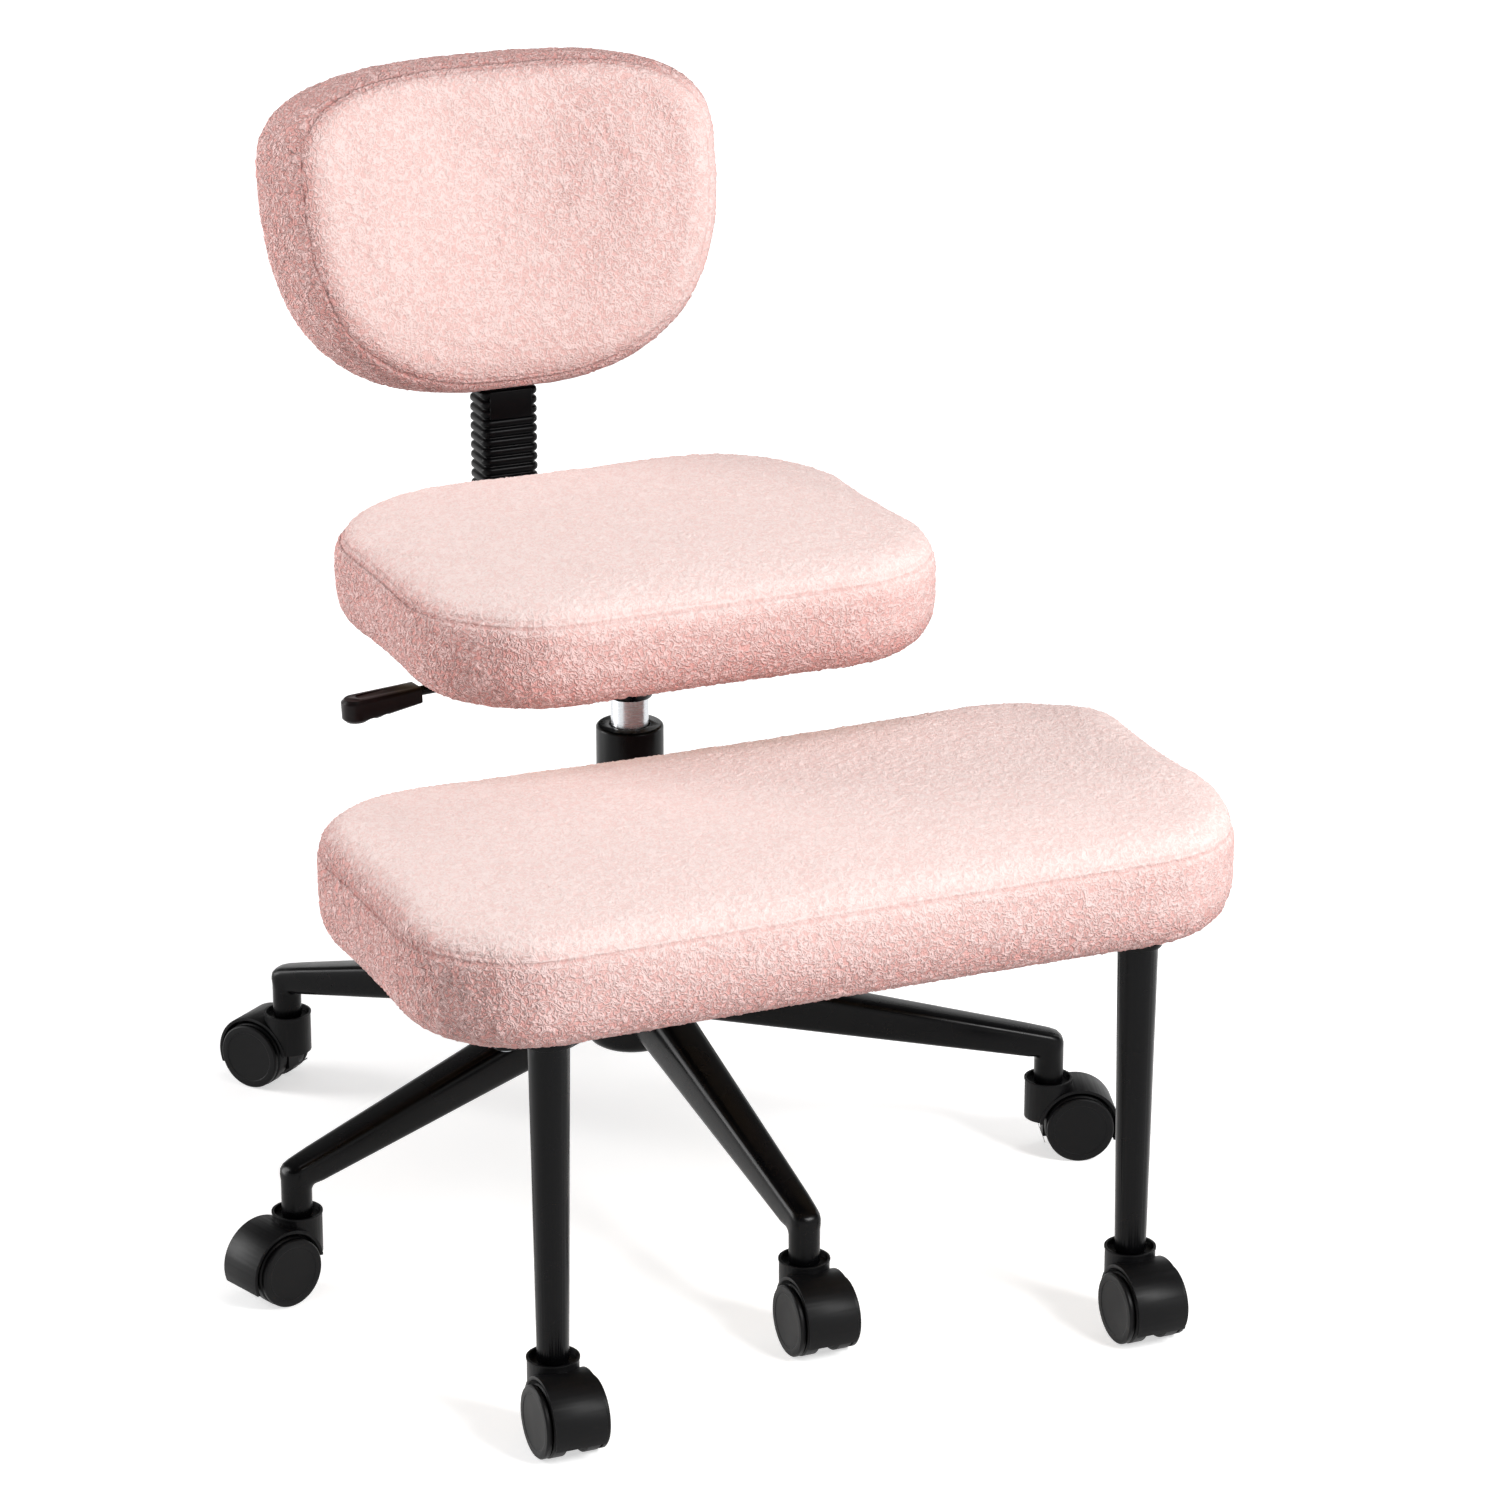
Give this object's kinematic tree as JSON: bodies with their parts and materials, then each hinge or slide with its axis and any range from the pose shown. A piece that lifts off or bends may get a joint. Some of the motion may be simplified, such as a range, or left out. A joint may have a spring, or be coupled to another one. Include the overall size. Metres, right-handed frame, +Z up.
{
  "type": "office chair",
  "caption": "Armless swivel chair with a fleece seat, curved backrest on a bellows-covered bar, gas lift, star base on hooded casters and a long padded footrest bench circling the column.",
  "frame": {"origin": "on the floor, under the axis of the column", "axes": "+Z up, the sitter faces -Y, and the sitter's right, where the lever is, is -X"},
  "size_m": [0.7148, 0.7763, 0.8029],
  "materials": {
    "powder_coated_steel": "satin black powder coat",
    "black_nylon": "matte moulded nylon",
    "lever_plastic": "satin moulded polypropylene",
    "bellows_plastic": "matte soft ribbed moulding",
    "bright_steel": "ground and chromed",
    "zinc_steel": "zinc plated",
    "natural_acetal": "natural moulded acetal",
    "birch_plywood": "sanded, unfinished",
    "pink_fleece": "curly sherpa fleece"
  },
  "bodies": {
    "base": {"star_base": "powder_coated_steel", "outer_tube": "powder_coated_steel", "guide_bush": "natural_acetal", "thrust_bearing": "zinc_steel", "base_caster_stems": "zinc_steel"},
    "spindle": {"piston_rod": "bright_steel", "retaining_clip": "zinc_steel"},
    "seat": {"pressure_tube": "bright_steel", "seat_mechanism": "powder_coated_steel", "lever_pin": "zinc_steel", "clamp_bolt": "zinc_steel", "seat_board": "birch_plywood", "seat_bolts": "zinc_steel", "seat_cushion": "pink_fleece"},
    "lever": {"lever_rod": "powder_coated_steel", "lever_handle": "lever_plastic"},
    "valve": {"valve_button": "bright_steel"},
    "knob": {"clamp_knob": "black_nylon"},
    "back_bar": {"back_bar": "powder_coated_steel", "bellows": "bellows_plastic"},
    "backrest": {"back_housing": "black_nylon", "back_panel": "black_nylon", "back_screws": "zinc_steel", "back_cushion": "pink_fleece"},
    "bench": {"bench_frame": "powder_coated_steel", "bench_bush": "natural_acetal", "bench_leg_right": "powder_coated_steel", "bench_leg_left": "powder_coated_steel", "bench_board": "birch_plywood", "bench_screws": "zinc_steel", "bench_cushion": "pink_fleece", "bench_caster_stems": "zinc_steel"},
    "front_caster": {"front_hood": "black_nylon", "front_axle": "zinc_steel"},
    "front_roller_a": {"front_wheel_a": "black_nylon"},
    "front_roller_b": {"front_wheel_b": "black_nylon"},
    "left_caster": {"left_hood": "black_nylon", "left_axle": "zinc_steel"},
    "left_roller_a": {"left_wheel_a": "black_nylon"},
    "left_roller_b": {"left_wheel_b": "black_nylon"},
    "rear_left_caster": {"rear_left_hood": "black_nylon", "rear_left_axle": "zinc_steel"},
    "rear_left_roller_a": {"rear_left_wheel_a": "black_nylon"},
    "rear_left_roller_b": {"rear_left_wheel_b": "black_nylon"},
    "rear_right_caster": {"rear_right_hood": "black_nylon", "rear_right_axle": "zinc_steel"},
    "rear_right_roller_a": {"rear_right_wheel_a": "black_nylon"},
    "rear_right_roller_b": {"rear_right_wheel_b": "black_nylon"},
    "right_caster": {"right_hood": "black_nylon", "right_axle": "zinc_steel"},
    "right_roller_a": {"right_wheel_a": "black_nylon"},
    "right_roller_b": {"right_wheel_b": "black_nylon"},
    "bench_right_caster": {"bench_right_hood": "black_nylon", "bench_right_axle": "zinc_steel"},
    "bench_right_roller_a": {"bench_right_wheel_a": "black_nylon"},
    "bench_right_roller_b": {"bench_right_wheel_b": "black_nylon"},
    "bench_left_caster": {"bench_left_hood": "black_nylon", "bench_left_axle": "zinc_steel"},
    "bench_left_roller_a": {"bench_left_wheel_a": "black_nylon"},
    "bench_left_roller_b": {"bench_left_wheel_b": "black_nylon"}
  },
  "joints": [
    {"name": "seat_swivel", "type": "hinge", "parent": "base", "child": "spindle", "pos_m": [0, 0, 0.12], "axis": [0, 0, 1], "continuous": true},
    {"name": "seat_lift", "type": "slide", "parent": "spindle", "child": "seat", "axis": [0, 0, 1], "range_m": [0, 0.08]},
    {"name": "lever_pull", "type": "hinge", "parent": "seat", "child": "lever", "pos_m": [-0.0343, 0, 0.412], "axis": [0, 1, 0], "range_deg": [0, 3.2], "stiffness_Nm_per_rad": 2, "springref_deg": -11.46},
    {"name": "valve_press", "type": "slide", "parent": "seat", "child": "valve", "axis": [0, 0, -1], "range_m": [0, 0.0022]},
    {"name": "knob_turn", "type": "hinge", "parent": "seat", "child": "knob", "pos_m": [0, 0.08, 0.385], "axis": [0, 0, -1], "range_deg": [0, 270]},
    {"name": "back_depth", "type": "slide", "parent": "seat", "child": "back_bar", "axis": [0, 1, 0], "range_m": [-0.03, 0.01]},
    {"name": "back_height", "type": "slide", "parent": "back_bar", "child": "backrest", "axis": [0, 0, 1], "range_m": [-0.02, 0.05], "deforming": ["bellows"]},
    {"name": "bench_swivel", "type": "hinge", "parent": "base", "child": "bench", "pos_m": [0, 0, 0.24], "axis": [0, 0, 1], "continuous": true},
    {"name": "front_swivel", "type": "hinge", "parent": "base", "child": "front_caster", "pos_m": [0, -0.317, 0.05], "axis": [0, 0, 1], "continuous": true},
    {"name": "front_roll_a", "type": "hinge", "parent": "front_caster", "child": "front_roller_a", "pos_m": [0, -0.339, 0.026], "axis": [1, 0, 0], "continuous": true},
    {"name": "front_roll_b", "type": "hinge", "parent": "front_caster", "child": "front_roller_b", "pos_m": [0, -0.339, 0.026], "axis": [1, 0, 0], "continuous": true},
    {"name": "left_swivel", "type": "hinge", "parent": "base", "child": "left_caster", "pos_m": [0.30149, -0.09796, 0.05], "axis": [0, 0, 1], "continuous": true},
    {"name": "left_roll_a", "type": "hinge", "parent": "left_caster", "child": "left_roller_a", "pos_m": [0.32241, -0.10476, 0.026], "axis": [0.309, 0.9511, 0], "continuous": true},
    {"name": "left_roll_b", "type": "hinge", "parent": "left_caster", "child": "left_roller_b", "pos_m": [0.32241, -0.10476, 0.026], "axis": [0.309, 0.9511, 0], "continuous": true},
    {"name": "rear_left_swivel", "type": "hinge", "parent": "base", "child": "rear_left_caster", "pos_m": [0.18633, 0.25646, 0.05], "axis": [0, 0, 1], "continuous": true},
    {"name": "rear_left_roll_a", "type": "hinge", "parent": "rear_left_caster", "child": "rear_left_roller_a", "pos_m": [0.19926, 0.27426, 0.026], "axis": [-0.809, 0.5878, 0], "continuous": true},
    {"name": "rear_left_roll_b", "type": "hinge", "parent": "rear_left_caster", "child": "rear_left_roller_b", "pos_m": [0.19926, 0.27426, 0.026], "axis": [-0.809, 0.5878, 0], "continuous": true},
    {"name": "rear_right_swivel", "type": "hinge", "parent": "base", "child": "rear_right_caster", "pos_m": [-0.18633, 0.25646, 0.05], "axis": [0, 0, 1], "continuous": true},
    {"name": "rear_right_roll_a", "type": "hinge", "parent": "rear_right_caster", "child": "rear_right_roller_a", "pos_m": [-0.19926, 0.27426, 0.026], "axis": [-0.809, -0.5878, 0], "continuous": true},
    {"name": "rear_right_roll_b", "type": "hinge", "parent": "rear_right_caster", "child": "rear_right_roller_b", "pos_m": [-0.19926, 0.27426, 0.026], "axis": [-0.809, -0.5878, 0], "continuous": true},
    {"name": "right_swivel", "type": "hinge", "parent": "base", "child": "right_caster", "pos_m": [-0.30149, -0.09796, 0.05], "axis": [0, 0, 1], "continuous": true},
    {"name": "right_roll_a", "type": "hinge", "parent": "right_caster", "child": "right_roller_a", "pos_m": [-0.32241, -0.10476, 0.026], "axis": [0.309, -0.9511, 0], "continuous": true},
    {"name": "right_roll_b", "type": "hinge", "parent": "right_caster", "child": "right_roller_b", "pos_m": [-0.32241, -0.10476, 0.026], "axis": [0.309, -0.9511, 0], "continuous": true},
    {"name": "bench_right_swivel", "type": "hinge", "parent": "bench", "child": "bench_right_caster", "pos_m": [-0.22, -0.391, 0.05], "axis": [0, 0, 1], "continuous": true},
    {"name": "bench_right_roll_a", "type": "hinge", "parent": "bench_right_caster", "child": "bench_right_roller_a", "pos_m": [-0.22, -0.413, 0.026], "axis": [1, 0, 0], "continuous": true},
    {"name": "bench_right_roll_b", "type": "hinge", "parent": "bench_right_caster", "child": "bench_right_roller_b", "pos_m": [-0.22, -0.413, 0.026], "axis": [1, 0, 0], "continuous": true},
    {"name": "bench_left_swivel", "type": "hinge", "parent": "bench", "child": "bench_left_caster", "pos_m": [0.22, -0.391, 0.05], "axis": [0, 0, 1], "continuous": true},
    {"name": "bench_left_roll_a", "type": "hinge", "parent": "bench_left_caster", "child": "bench_left_roller_a", "pos_m": [0.22, -0.413, 0.026], "axis": [1, 0, 0], "continuous": true},
    {"name": "bench_left_roll_b", "type": "hinge", "parent": "bench_left_caster", "child": "bench_left_roller_b", "pos_m": [0.22, -0.413, 0.026], "axis": [1, 0, 0], "continuous": true}
  ],
  "couplings": [
    {"joint": "valve_press", "follows": "lever_pull", "m_per_rad": 0.0385}
  ]
}
